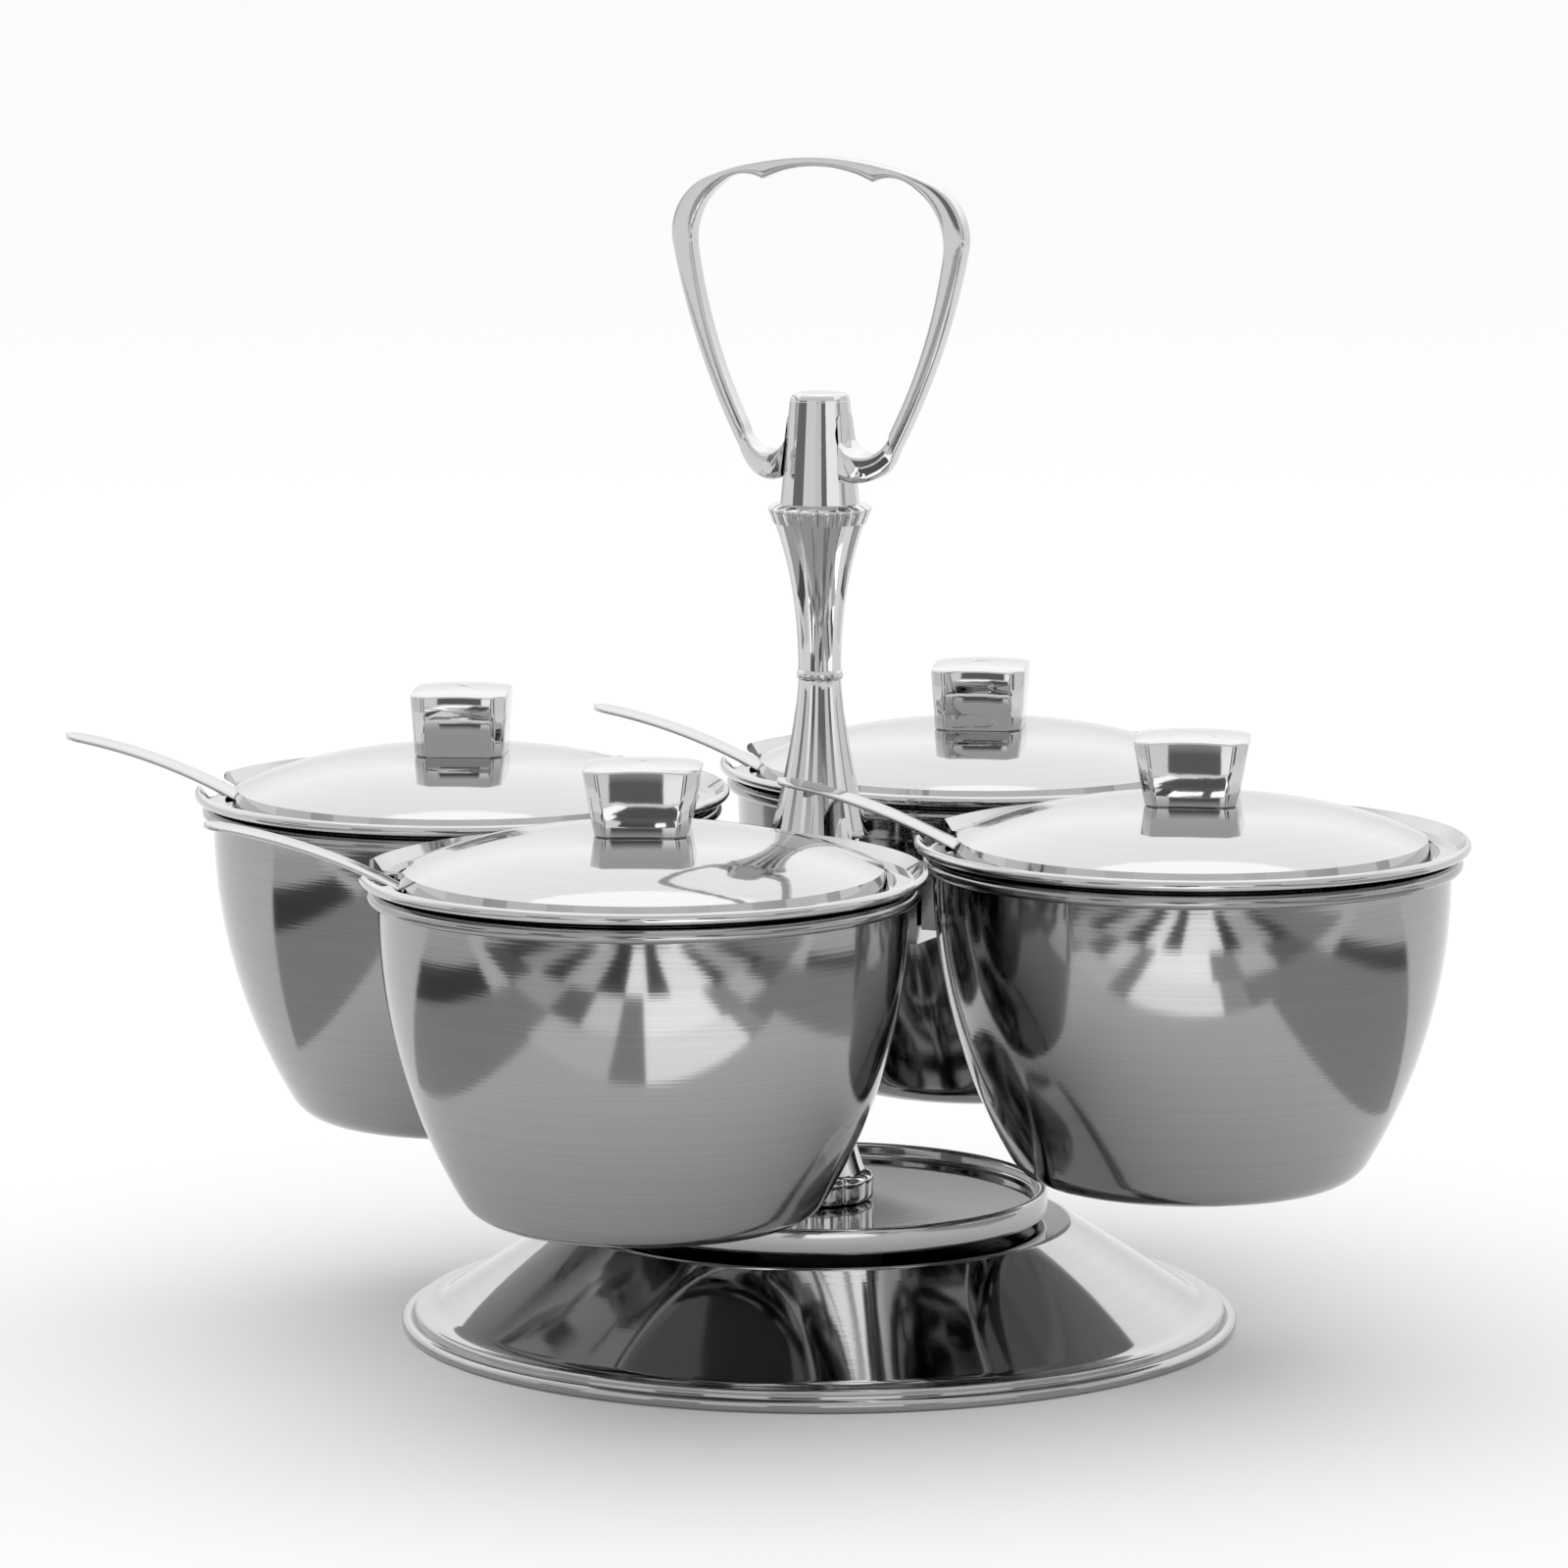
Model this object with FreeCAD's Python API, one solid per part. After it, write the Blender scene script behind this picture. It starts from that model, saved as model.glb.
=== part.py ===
import FreeCAD, Part
import math
import os

from FreeCAD import Vector

# Revolving condiment server: four covered bowls hung round a column that turns on a spun base.
# Millimetres, +Z up. The origin is on the column's axis, at the table.

# Driving dimensions
rim_diameter = 112.0
bowl_height = 66.5
bowl_floor_height = 37.0
rim_gap = 4.5
base_diameter = 172.6
base_height = 22.0
pan_diameter = 94.2
column_foot_drop = 1.5
handle_height = 70.5
handle_half_width = 32.6

# Clearances and working values
seat_clearance = 0.1
running_clearance = 0.05
bore_clearance = 0.1
cut_overrun = 2.0
join_tolerance = 1e-6

# Stations round the column, in degrees from +X
bowl_bearing_degrees = {"front": 270, "right": 0, "back": 90, "left": 180}
spoon_bearing_degrees = {"front": 203, "right": 190, "back": 190, "left": 193}
knob_turn_degrees = {"front": 0, "right": 9, "back": 99, "left": 99}

# Base shell
base_sheet = 1.2
base_neck_radius = 52.0
base_shoulder_radius = 2.5
base_edge_height = 4.2
base_edge_wall = 2.6
base_ledge_width = 5.6
base_ledge_rise = 0.9

# Pivot: tie rod, bush, washer and nut
rod_radius = 3.0
rod_tail = 1.5
bush_body_radius = 6.0
bush_flange_radius = 13.0
bush_tail = 2.0
washer_radius = 9.0
washer_thickness = 1.2
nut_flat_radius = 5.0
nut_height = 6.0

# Turntable pan
pan_sheet = 1.2
pan_floor_rise = 2.8
pan_skirt = 1.4
pan_rim_height = 2.9
pan_wall = 1.9
pan_floor_fillet = 1.0

# Lower stem and its collar
collar_radius = 11.2
collar_height = 6.0
collar_lobes = 10
collar_lobe_depth = 0.8
stem_foot_radius = 9.4
stem_waist_radius = 4.9
stem_curve = 4.0

# Carrier with its four upright tongues
carrier_height = 22.0
carrier_radius = 9.0
carrier_arm_width = 14.0
carrier_arm_thickness = 3.0
carrier_arm_drop = 20.0
tongue_reach = 25.0
tongue_thickness = 2.0
tongue_drop = 6.8

# Bowl
bowl_sheet = 1.0
bowl_flat_radius = 27.64
bowl_corner_radius = 10.0
bowl_wall_arc_radius = 113.0
bowl_wall_lean = 30.64
rim_bead_radius = 1.4
rim_inset = 1.6
rim_lip_fillet = 1.0

# Hanger lug welded to the bowl
hanger_width = 12.0
hanger_strip = 1.6
hanger_slack = 0.6
hanger_lip_drop = 10.0
hanger_pad_drop = 12.0

# Lid
lid_sheet = 0.9
lid_edge_bead_radius = 1.1
lid_edge_lift = 1.1
lid_seat_width = 2.2
lid_register_depth = 1.4
lid_register_clearance = 0.5
lid_valley_width = 1.4
lid_step_rise = 2.4
lid_step_run = 1.0
lid_crown_rise = 7.2
lid_pad_radius = 12.0
lid_notch_radius = 11.0

# Knob and its screw
knob_height = 14.0
knob_top_width = 23.6
knob_top_depth = 20.6
knob_base_width = 18.6
knob_chamfer_share = 0.12
knob_dome_radius = 100.0
screw_radius = 2.0
screw_grip = 8.0
screw_head_radius = 4.2
screw_head_height = 1.8

# Spoon
spoon_thickness = 1.2
spoon_width = 8.0
spoon_rest_clearance = 0.4
spoon_arc_radius = 118.0
spoon_rest_slope = 26.0
spoon_tip_slope = 8.0
spoon_knee_slope = 30.0
spoon_knee_radius = 12.0
spoon_shank_slope = 55.0
spoon_cup_radius = 13.0
spoon_cup_depth = 7.0
spoon_joint_overlap = 1.5

# Column
flute_count = 12
flute_depth_share = 0.035
flare_levels = 5
foot_flare_height = 32.2
foot_flare_radius = 10.2
column_neck_radius = 4.4
foot_flare_curve = 1.4
ring_height = 2.0
ring_bulge = 0.4
top_flare_height = 30.2
top_flare_radius = 9.2
top_flare_curve = 2.2
rosette_height = 4.1
rosette_radius = 10.7
rosette_lobes = 16
rosette_lobe_depth = 0.7

# Handle casting
socket_height = 22.5
socket_foot_radius = 8.2
socket_top_radius = 6.1
socket_roof = 5.0
handle_bar_thickness = 4.0
# Saddle: the loop's two feet widen from the bar towards the socket's full depth
saddle_half_depth = 5.2
saddle_half_flat = 9.0
saddle_half_length = 17.0
saddle_end_share = 0.7
saddle_shoulder_share = 0.135
saddle_top_share = 0.27
saddle_top_half_depth = 3.4
# Right half of the loop's outlines, as arcs: each step is the middle and the end of one.
# Each point is a share of the half width and a share of the height above the rosette.
loop_outer_start_shares = (0.0, 1.0)
loop_outer_shares = [
    ((0.38, 0.984), (0.752, 0.936)),
    ((0.933, 0.872), (1.0, 0.752)),
    ((0.802, 0.424), (0.53, 0.15)),
    ((0.44, 0.088), (0.2, 0.075)),
]
loop_inner_start_shares = (0.0, 0.972)
loop_inner_shares = [
    ((0.195, 0.962), (0.377, 0.932)),
    ((0.515, 0.945), (0.666, 0.915)),
    ((0.807, 0.844), (0.856, 0.725)),
    ((0.712, 0.447), (0.5, 0.215)),
    ((0.33, 0.145), (0.17, 0.26)),
]

# Derived sizes and levels
rim_radius = rim_diameter / 2
bowl_rim_radius = rim_radius - rim_inset
base_radius = base_diameter / 2
pan_radius = pan_diameter / 2
bowl_circle_radius = (rim_diameter + rim_gap) / math.sqrt(2)
rim_level = bowl_floor_height + bowl_height
column_foot_height = rim_level - column_foot_drop
stack_bore_radius = rod_radius + bore_clearance
pan_underside = base_height + pan_floor_rise
pan_floor_top = pan_underside + pan_sheet
collar_top = pan_floor_top + collar_height
carrier_bottom = column_foot_height - carrier_height
tongue_top = column_foot_height - tongue_drop
ring_bottom = column_foot_height + foot_flare_height
top_flare_bottom = ring_bottom + ring_height
rosette_bottom = top_flare_bottom + top_flare_height
handle_bottom = rosette_bottom + rosette_height
bush_bottom = base_height - base_sheet - bush_tail
washer_top = bush_bottom - seat_clearance
nut_top = washer_top - washer_thickness
rod_bottom = nut_top - nut_height - rod_tail
rod_top = handle_bottom + socket_height - socket_roof

axis_z = Vector(0, 0, 1)
centre = Vector(0, 0, 0)


def section_point(radius, height):
    return Vector(radius, 0, height)


def on_circle(middle, radius, degrees):
    angle = math.radians(degrees)
    return Vector(middle.x + radius * math.cos(angle), 0, middle.z + radius * math.sin(angle))


def outline(start, steps):
    """Closed wire. A step that is a point ends a line, and a pair is the middle and the end of an arc."""
    edges = []
    here = start
    for step in steps:
        if isinstance(step, tuple):
            edges.append(Part.Arc(here, step[0], step[1]).toShape())
            here = step[1]
        else:
            edges.append(Part.LineSegment(here, step).toShape())
            here = step
    if here.distanceToPoint(start) > join_tolerance:
        edges.append(Part.LineSegment(here, start).toShape())
    return Part.Wire(edges)


def revolved(start, steps):
    return Part.Face(outline(start, steps)).revolve(centre, axis_z, 360)


def extruded(wire, direction):
    return Part.Face(wire).extrude(direction)


def cylinder(radius, bottom, top):
    return Part.makeCylinder(radius, top - bottom, Vector(0, 0, bottom))


def bored(shape, radius, bottom, top):
    return shape.cut(cylinder(radius, bottom - cut_overrun, top + cut_overrun))


def scalloped_wire(ridge_radius, middle_radius, count, level):
    """Closed ring of arcs through ridges on one radius and the points midway on another."""
    edges = []
    step = 2 * math.pi / count
    for index in range(count):
        angles = (index * step, (index + 0.5) * step, (index + 1) * step)
        radii = (ridge_radius, middle_radius, ridge_radius)
        points = []
        for angle, radius in zip(angles, radii):
            points.append(Vector(radius * math.cos(angle), radius * math.sin(angle), level))
        edges.append(Part.Arc(*points).toShape())
    return Part.Wire(edges)


def fluted_wire(radius, level):
    """Ring of shallow hollow flutes between sharp ridges."""
    chord = radius * math.cos(math.pi / flute_count)
    return scalloped_wire(radius, chord - flute_depth_share * radius, flute_count, level)


def fluted_flare(wide_radius, neck_radius, wide_level, neck_level, curve):
    """Fluted trumpet, wide at one level and narrow at the other, with a bore for the tie rod."""
    wires = []
    for index in range(flare_levels):
        share = index / (flare_levels - 1)
        radius = neck_radius + (wide_radius - neck_radius) * (1 - share) ** curve
        wires.append(fluted_wire(radius, wide_level + (neck_level - wide_level) * share))
    bottom = min(wide_level, neck_level)
    top = max(wide_level, neck_level)
    return bored(Part.makeLoft(wires, True, False), stack_bore_radius, bottom, top)


def save(name, shape):
    shape.exportStep("parts/" + name + ".step")


# Fixed base

def make_base_shell():
    """Spun cone with a flat top, a ledge at its foot and a thick rolled edge that stands on the table."""
    ledge_outer = base_radius - base_edge_wall
    ledge_inner = ledge_outer - base_ledge_width
    ledge_top = base_edge_height + base_ledge_rise
    edge_round = base_edge_wall / 2
    shoulder = base_shoulder_radius
    lean = math.atan2(base_height - ledge_top, ledge_inner - base_neck_radius)
    turn = math.tan(lean / 2) * shoulder
    bend_start = base_neck_radius - turn
    bend_end = section_point(base_neck_radius + turn * math.cos(lean), base_height - turn * math.sin(lean))
    bend_centre = section_point(bend_start, base_height - shoulder)
    bend_middle = on_circle(bend_centre, shoulder, 90 - math.degrees(lean) / 2)
    drop = base_sheet / math.cos(lean)
    inner_slope_top = base_height - base_sheet
    inner_run = (drop - base_sheet) / math.tan(lean)
    steps = [
        section_point(bend_start, base_height),
        (bend_middle, bend_end),
        section_point(ledge_inner, ledge_top),
        section_point(ledge_outer, base_edge_height),
        (on_circle(section_point(base_radius - edge_round, base_edge_height - edge_round), edge_round, 60),
         section_point(base_radius, base_edge_height - edge_round)),
        section_point(base_radius, edge_round),
        (on_circle(section_point(base_radius - edge_round, edge_round), edge_round, -45),
         section_point(base_radius - edge_round, 0)),
        section_point(ledge_outer - base_sheet, 0),
        section_point(ledge_outer - base_sheet, base_edge_height - base_sheet),
        section_point(ledge_inner, ledge_top - drop),
        section_point(base_neck_radius - inner_run, inner_slope_top),
        section_point(0, inner_slope_top),
    ]
    shell = revolved(section_point(0, base_height), steps)
    return bored(shell, bush_body_radius, inner_slope_top, base_height)


def make_pivot_bush():
    """Flanged bush in the base's top: its flange carries the pan and its bore guides the tie rod."""
    flange_top = pan_underside - seat_clearance
    body = cylinder(bush_body_radius, bush_bottom, flange_top)
    flange = cylinder(bush_flange_radius, base_height, flange_top)
    return bored(body.fuse(flange).removeSplitter(), rod_radius + running_clearance, bush_bottom, flange_top)


# Turning column

def make_turntable_pan():
    """Shallow tray with a raised rim and a short skirt below its floor."""
    rim_top = pan_floor_top + pan_rim_height
    skirt_bottom = pan_underside - pan_skirt
    inner = pan_radius - pan_wall
    half_wall = pan_wall / 2
    steps = [
        section_point(inner, pan_underside),
        section_point(inner, skirt_bottom),
        section_point(pan_radius - half_wall, skirt_bottom),
        (on_circle(section_point(pan_radius - half_wall, skirt_bottom + half_wall), half_wall, -45),
         section_point(pan_radius, skirt_bottom + half_wall)),
        section_point(pan_radius, rim_top - half_wall),
        (section_point(pan_radius - half_wall, rim_top), section_point(inner, rim_top - half_wall)),
        section_point(inner, pan_floor_top + pan_floor_fillet),
        (on_circle(section_point(inner - pan_floor_fillet, pan_floor_top + pan_floor_fillet),
                   pan_floor_fillet, -45),
         section_point(inner - pan_floor_fillet, pan_floor_top)),
        section_point(0, pan_floor_top),
    ]
    tray = revolved(section_point(0, pan_underside), steps)
    return bored(tray, stack_bore_radius, pan_underside, pan_floor_top)


def make_tie_rod():
    return cylinder(rod_radius, rod_bottom, rod_top)


def make_rod_washer():
    return bored(cylinder(washer_radius, nut_top, washer_top), stack_bore_radius, nut_top, washer_top)


def make_lock_nut():
    corner_radius = nut_flat_radius / math.cos(math.pi / 6)
    corners = []
    for index in range(6):
        angle = index * math.pi / 3
        corners.append(Vector(corner_radius * math.cos(angle), corner_radius * math.sin(angle), nut_top))
    hexagon = Part.makePolygon(corners + corners[:1])
    nut_bottom = nut_top - nut_height
    return bored(extruded(hexagon, Vector(0, 0, -nut_height)), rod_radius, nut_bottom, nut_top)


def make_lobed_disc(radius, lobe_depth, lobes, bottom, height):
    wire = scalloped_wire(radius - lobe_depth, radius, lobes, bottom)
    return bored(extruded(wire, Vector(0, 0, height)), stack_bore_radius, bottom, bottom + height)


def make_carrier():
    """Hub with four arms, each ending in an upright tongue that a bowl's hanger drops over."""
    arm_bottom = column_foot_height - carrier_arm_drop
    half = carrier_arm_width / 2
    body = cylinder(carrier_radius, carrier_bottom, column_foot_height)
    arm_outline = outline(
        Vector(0, -half, arm_bottom),
        [
            Vector(tongue_reach, -half, arm_bottom),
            Vector(tongue_reach, -half, tongue_top),
            Vector(tongue_reach - tongue_thickness, -half, tongue_top),
            Vector(tongue_reach - tongue_thickness, -half, arm_bottom + carrier_arm_thickness),
            Vector(0, -half, arm_bottom + carrier_arm_thickness),
        ],
    )
    for bowl_bearing in bowl_bearing_degrees.values():
        arm = extruded(arm_outline, Vector(0, carrier_arm_width, 0))
        arm.rotate(centre, axis_z, bowl_bearing)
        body = body.fuse(arm)
    return bored(body.removeSplitter(), stack_bore_radius, carrier_bottom, column_foot_height)


def make_column_ring():
    """Narrow bead between the two flares."""
    ring_top = ring_bottom + ring_height
    middle = ring_bottom + ring_height / 2
    steps = [
        (section_point(column_neck_radius + ring_bulge, middle),
         section_point(column_neck_radius, ring_top)),
        section_point(stack_bore_radius, ring_top),
        section_point(stack_bore_radius, ring_bottom),
    ]
    return revolved(section_point(column_neck_radius, ring_bottom), steps)


def loop_point(shares, side):
    return Vector(side * shares[0] * handle_half_width, 0, handle_bottom + shares[1] * handle_height)


def loop_wire(start_shares, step_shares):
    """Closed symmetrical outline from its right half: down the right side, across and up the left."""
    right = [(loop_point(middle, 1), loop_point(end, 1)) for middle, end in step_shares]
    starts = [start_shares] + [end for _, end in step_shares[:-1]]
    left = []
    for (middle, _), start in zip(reversed(step_shares), reversed(starts)):
        left.append((loop_point(middle, -1), loop_point(start, -1)))
    return outline(loop_point(start_shares, 1), right + [loop_point(step_shares[-1][1], -1)] + left)


def prism(points, path):
    return Part.Face(Part.makePolygon(points + points[:1])).extrude(path)


def make_saddle(loop):
    """Feet of the loop, deeper than its bar, which run into the socket's sides."""
    feet = loop.extrude(Vector(0, 2 * saddle_half_depth, 0))
    feet.translate(Vector(0, -saddle_half_depth, 0))
    rise = saddle_top_share * handle_height
    end = saddle_end_share * handle_bar_thickness / 2
    corners = [(-saddle_half_length, -end), (-saddle_half_flat, -saddle_half_depth),
               (saddle_half_flat, -saddle_half_depth), (saddle_half_length, -end)]
    corners += [(-x, -y) for x, y in corners]
    plan = prism([Vector(x, y, handle_bottom) for x, y in corners], Vector(0, 0, rise))
    shoulder = handle_bottom + saddle_shoulder_share * handle_height
    edges = [(saddle_half_depth, handle_bottom), (saddle_half_depth, shoulder),
             (saddle_top_half_depth, handle_bottom + rise)]
    edges += [(-y, z) for y, z in reversed(edges)]
    side = prism([Vector(-saddle_half_length, y, z) for y, z in edges], Vector(2 * saddle_half_length, 0, 0))
    return feet.common(plan).common(side)


def make_handle():
    """Lyre-shaped loop with finger scallops, cast in one with the fluted socket that grips the tie rod."""
    loop = Part.Face([
        loop_wire(loop_outer_start_shares, loop_outer_shares),
        loop_wire(loop_inner_start_shares, loop_inner_shares),
    ])
    loop.validate()
    bar = loop.extrude(Vector(0, handle_bar_thickness, 0))
    bar.translate(Vector(0, -handle_bar_thickness / 2, 0))
    socket_wires = [
        fluted_wire(socket_foot_radius, handle_bottom),
        fluted_wire(socket_top_radius, handle_bottom + socket_height),
    ]
    socket = Part.makeLoft(socket_wires, True, True)
    body = socket.fuse(bar).fuse(make_saddle(loop)).removeSplitter()
    return body.cut(cylinder(stack_bore_radius, handle_bottom - cut_overrun, rod_top))


# One station: bowl, hanger, lid, knob, screw and spoon. Local frame: bowl axis on Z, underside at zero.

def bowl_curve(offset):
    """Corner and wall arcs of the bowl, moved in from the outside by an offset: points of the section."""
    corner_centre = section_point(bowl_flat_radius, bowl_corner_radius)
    reach = bowl_corner_radius - bowl_wall_arc_radius
    wall_centre = on_circle(corner_centre, reach, -bowl_wall_lean)
    corner = bowl_corner_radius - offset
    wall = bowl_wall_arc_radius - offset
    return corner_centre, corner, wall_centre, wall


def wall_angle(level, wall_centre, wall):
    return math.degrees(math.asin((level - wall_centre.z) / wall))


def wall_radius(level, offset):
    _, _, wall_centre, wall = bowl_curve(offset)
    return on_circle(wall_centre, wall, wall_angle(level, wall_centre, wall)).x


def bowl_outside_steps():
    """Flat underside, corner and wall, up to the underside of the rolled rim."""
    corner_centre, corner, wall_centre, wall = bowl_curve(0)
    rim_underside = bowl_height - 2 * rim_bead_radius
    top_angle = wall_angle(rim_underside, wall_centre, wall)
    return [
        section_point(bowl_flat_radius, 0),
        (on_circle(corner_centre, corner, (-90 - bowl_wall_lean) / 2),
         on_circle(corner_centre, corner, -bowl_wall_lean)),
        (on_circle(wall_centre, wall, (top_angle - bowl_wall_lean) / 2),
         on_circle(wall_centre, wall, top_angle)),
    ]


def make_bowl():
    """Deep spun bowl with a rolled rim that stands out from its wall."""
    corner_centre, corner, wall_centre, wall = bowl_curve(bowl_sheet)
    lip_level = bowl_height - rim_lip_fillet
    lip_angle = wall_angle(lip_level, wall_centre, wall)
    lip = on_circle(wall_centre, wall, lip_angle)
    lip_centre = section_point(lip.x + rim_lip_fillet, lip_level)
    bead = bowl_rim_radius - rim_bead_radius
    steps = bowl_outside_steps() + [
        section_point(bead, bowl_height - 2 * rim_bead_radius),
        (section_point(bowl_rim_radius, bowl_height - rim_bead_radius), section_point(bead, bowl_height)),
        section_point(lip_centre.x, bowl_height),
        (on_circle(lip_centre, rim_lip_fillet, 135), lip),
        (on_circle(wall_centre, wall, (lip_angle - bowl_wall_lean) / 2),
         on_circle(wall_centre, wall, -bowl_wall_lean)),
        (on_circle(corner_centre, corner, (-90 - bowl_wall_lean) / 2),
         section_point(bowl_flat_radius, bowl_sheet)),
        section_point(0, bowl_sheet),
    ]
    return revolved(section_point(0, 0), steps)


def make_hanger():
    """Hook lug on the bowl's wall that drops over a tongue of the carrier. The column is towards +X."""
    inner_face = bowl_circle_radius - (tongue_reach - tongue_thickness - hanger_slack)
    outer_face = bowl_circle_radius - (tongue_reach + hanger_slack)
    saddle = tongue_top + seat_clearance - bowl_floor_height
    top = saddle + hanger_strip
    half = hanger_width / 2
    steps = [
        Vector(inner_face + hanger_strip, -half, top),
        Vector(inner_face + hanger_strip, -half, top - hanger_lip_drop),
        Vector(inner_face, -half, top - hanger_lip_drop),
        Vector(inner_face, -half, saddle),
        Vector(outer_face, -half, saddle),
        Vector(outer_face, -half, top - hanger_pad_drop),
        Vector(0, -half, top - hanger_pad_drop),
    ]
    lug = extruded(outline(Vector(0, -half, top), steps), Vector(0, hanger_width, 0))
    wall_top = bowl_outside_steps()[-1][1].z
    filled = revolved(section_point(0, 0), bowl_outside_steps() + [section_point(0, wall_top)])
    return lug.cut(filled)


def lid_levels():
    """Mouth of the bowl, and the levels of the lid's seat, valley and shoulder."""
    mouth = wall_radius(bowl_height - rim_lip_fillet, bowl_sheet)
    seat = bowl_height + seat_clearance
    valley = seat - lid_register_depth
    shoulder = seat + lid_sheet + lid_step_rise
    return mouth, seat, valley, shoulder


def make_lid():
    """Pressed lid: rolled edge, flange on the rim, register valley in the mouth, step and low crown."""
    mouth, seat, valley, shoulder = lid_levels()
    register = mouth - lid_register_clearance
    valley_outer = register - lid_sheet
    valley_inner = valley_outer - lid_valley_width
    step_top = valley_inner - lid_step_run
    seat_outer = mouth + lid_seat_width
    crown = shoulder + lid_crown_rise
    edge_centre = rim_radius - lid_edge_bead_radius
    edge_bottom = bowl_height + lid_edge_lift
    edge_top = edge_bottom + 2 * lid_edge_bead_radius
    dome_run = step_top - lid_pad_radius
    dome_radius = (dome_run ** 2 + lid_crown_rise ** 2) / (2 * lid_crown_rise)
    dome_centre = section_point(lid_pad_radius, crown - dome_radius)
    dome_half_angle = math.degrees(math.asin(dome_run / dome_radius)) / 2
    under_radius = dome_radius - lid_sheet
    under_angle = math.degrees(math.asin((dome_run - lid_sheet) / under_radius))
    steps = [
        section_point(lid_pad_radius, crown),
        (on_circle(dome_centre, dome_radius, 90 - dome_half_angle), section_point(step_top, shoulder)),
        section_point(valley_inner, valley + lid_sheet),
        section_point(valley_outer, valley + lid_sheet),
        section_point(valley_outer, seat + lid_sheet),
        section_point(seat_outer, seat + lid_sheet),
        section_point(edge_centre, edge_top),
        (section_point(rim_radius, edge_bottom + lid_edge_bead_radius),
         section_point(edge_centre, edge_bottom)),
        section_point(seat_outer, seat),
        section_point(register, seat),
        section_point(register, valley),
        section_point(valley_inner - lid_sheet, valley),
        on_circle(dome_centre, under_radius, 90 - under_angle),
        (on_circle(dome_centre, under_radius, 90 - under_angle / 2),
         section_point(lid_pad_radius, crown - lid_sheet)),
        section_point(0, crown - lid_sheet),
    ]
    lid = revolved(section_point(0, crown), steps)
    notch = cylinder(lid_notch_radius, bowl_height - lid_notch_radius, crown + lid_notch_radius)
    notch.translate(Vector(rim_radius, 0, 0))
    return bored(lid.cut(notch), screw_radius + bore_clearance, seat, crown)


def lid_crown_level():
    _, _, _, shoulder = lid_levels()
    return shoulder + lid_crown_rise


def chamfered_rectangle(width, depth, level):
    half_x = width / 2
    half_y = depth / 2
    cut_x = half_x - width * knob_chamfer_share
    cut_y = half_y - width * knob_chamfer_share
    corners = [(half_x, -cut_y), (half_x, cut_y), (cut_x, half_y), (-cut_x, half_y),
               (-half_x, cut_y), (-half_x, -cut_y), (-cut_x, -half_y), (cut_x, -half_y)]
    points = [Vector(x, y, level) for x, y in corners]
    return Part.makePolygon(points + points[:1])


def make_knob(turn):
    """Knob with a square foot, wider at its top, with cut corners and a low domed top."""
    bottom = lid_crown_level()
    top = bottom + knob_height
    foot = chamfered_rectangle(knob_base_width, knob_base_width, bottom)
    rim = chamfered_rectangle(knob_top_width, knob_top_depth, top)
    block = Part.makeLoft([foot, rim], True, True)
    knob = block.common(Part.makeSphere(knob_dome_radius, Vector(0, 0, top - knob_dome_radius)))
    knob.rotate(centre, axis_z, turn)
    return knob.cut(cylinder(screw_radius, bottom - cut_overrun, bottom + screw_grip))


def make_knob_screw():
    """Round-headed screw from under the lid into the knob."""
    seat = lid_crown_level() - lid_sheet
    shank = cylinder(screw_radius, seat, lid_crown_level() + screw_grip)
    steps = [
        section_point(screw_head_radius, seat),
        (on_circle(section_point(0, seat), screw_head_radius, -15),
         section_point(screw_head_radius / 2, seat - screw_head_height)),
        section_point(0, seat - screw_head_height),
    ]
    return shank.fuse(revolved(section_point(0, seat), steps)).removeSplitter()


def spoon_rest():
    """Middle of the spoon's strip where it passes over the round lip of the bowl's mouth."""
    lip_level = bowl_height - rim_lip_fillet
    lip_centre = section_point(wall_radius(lip_level, bowl_sheet) + rim_lip_fillet, lip_level)
    reach = rim_lip_fillet + spoon_rest_clearance + spoon_thickness / 2
    return on_circle(lip_centre, reach, spoon_rest_slope + 90)


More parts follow.
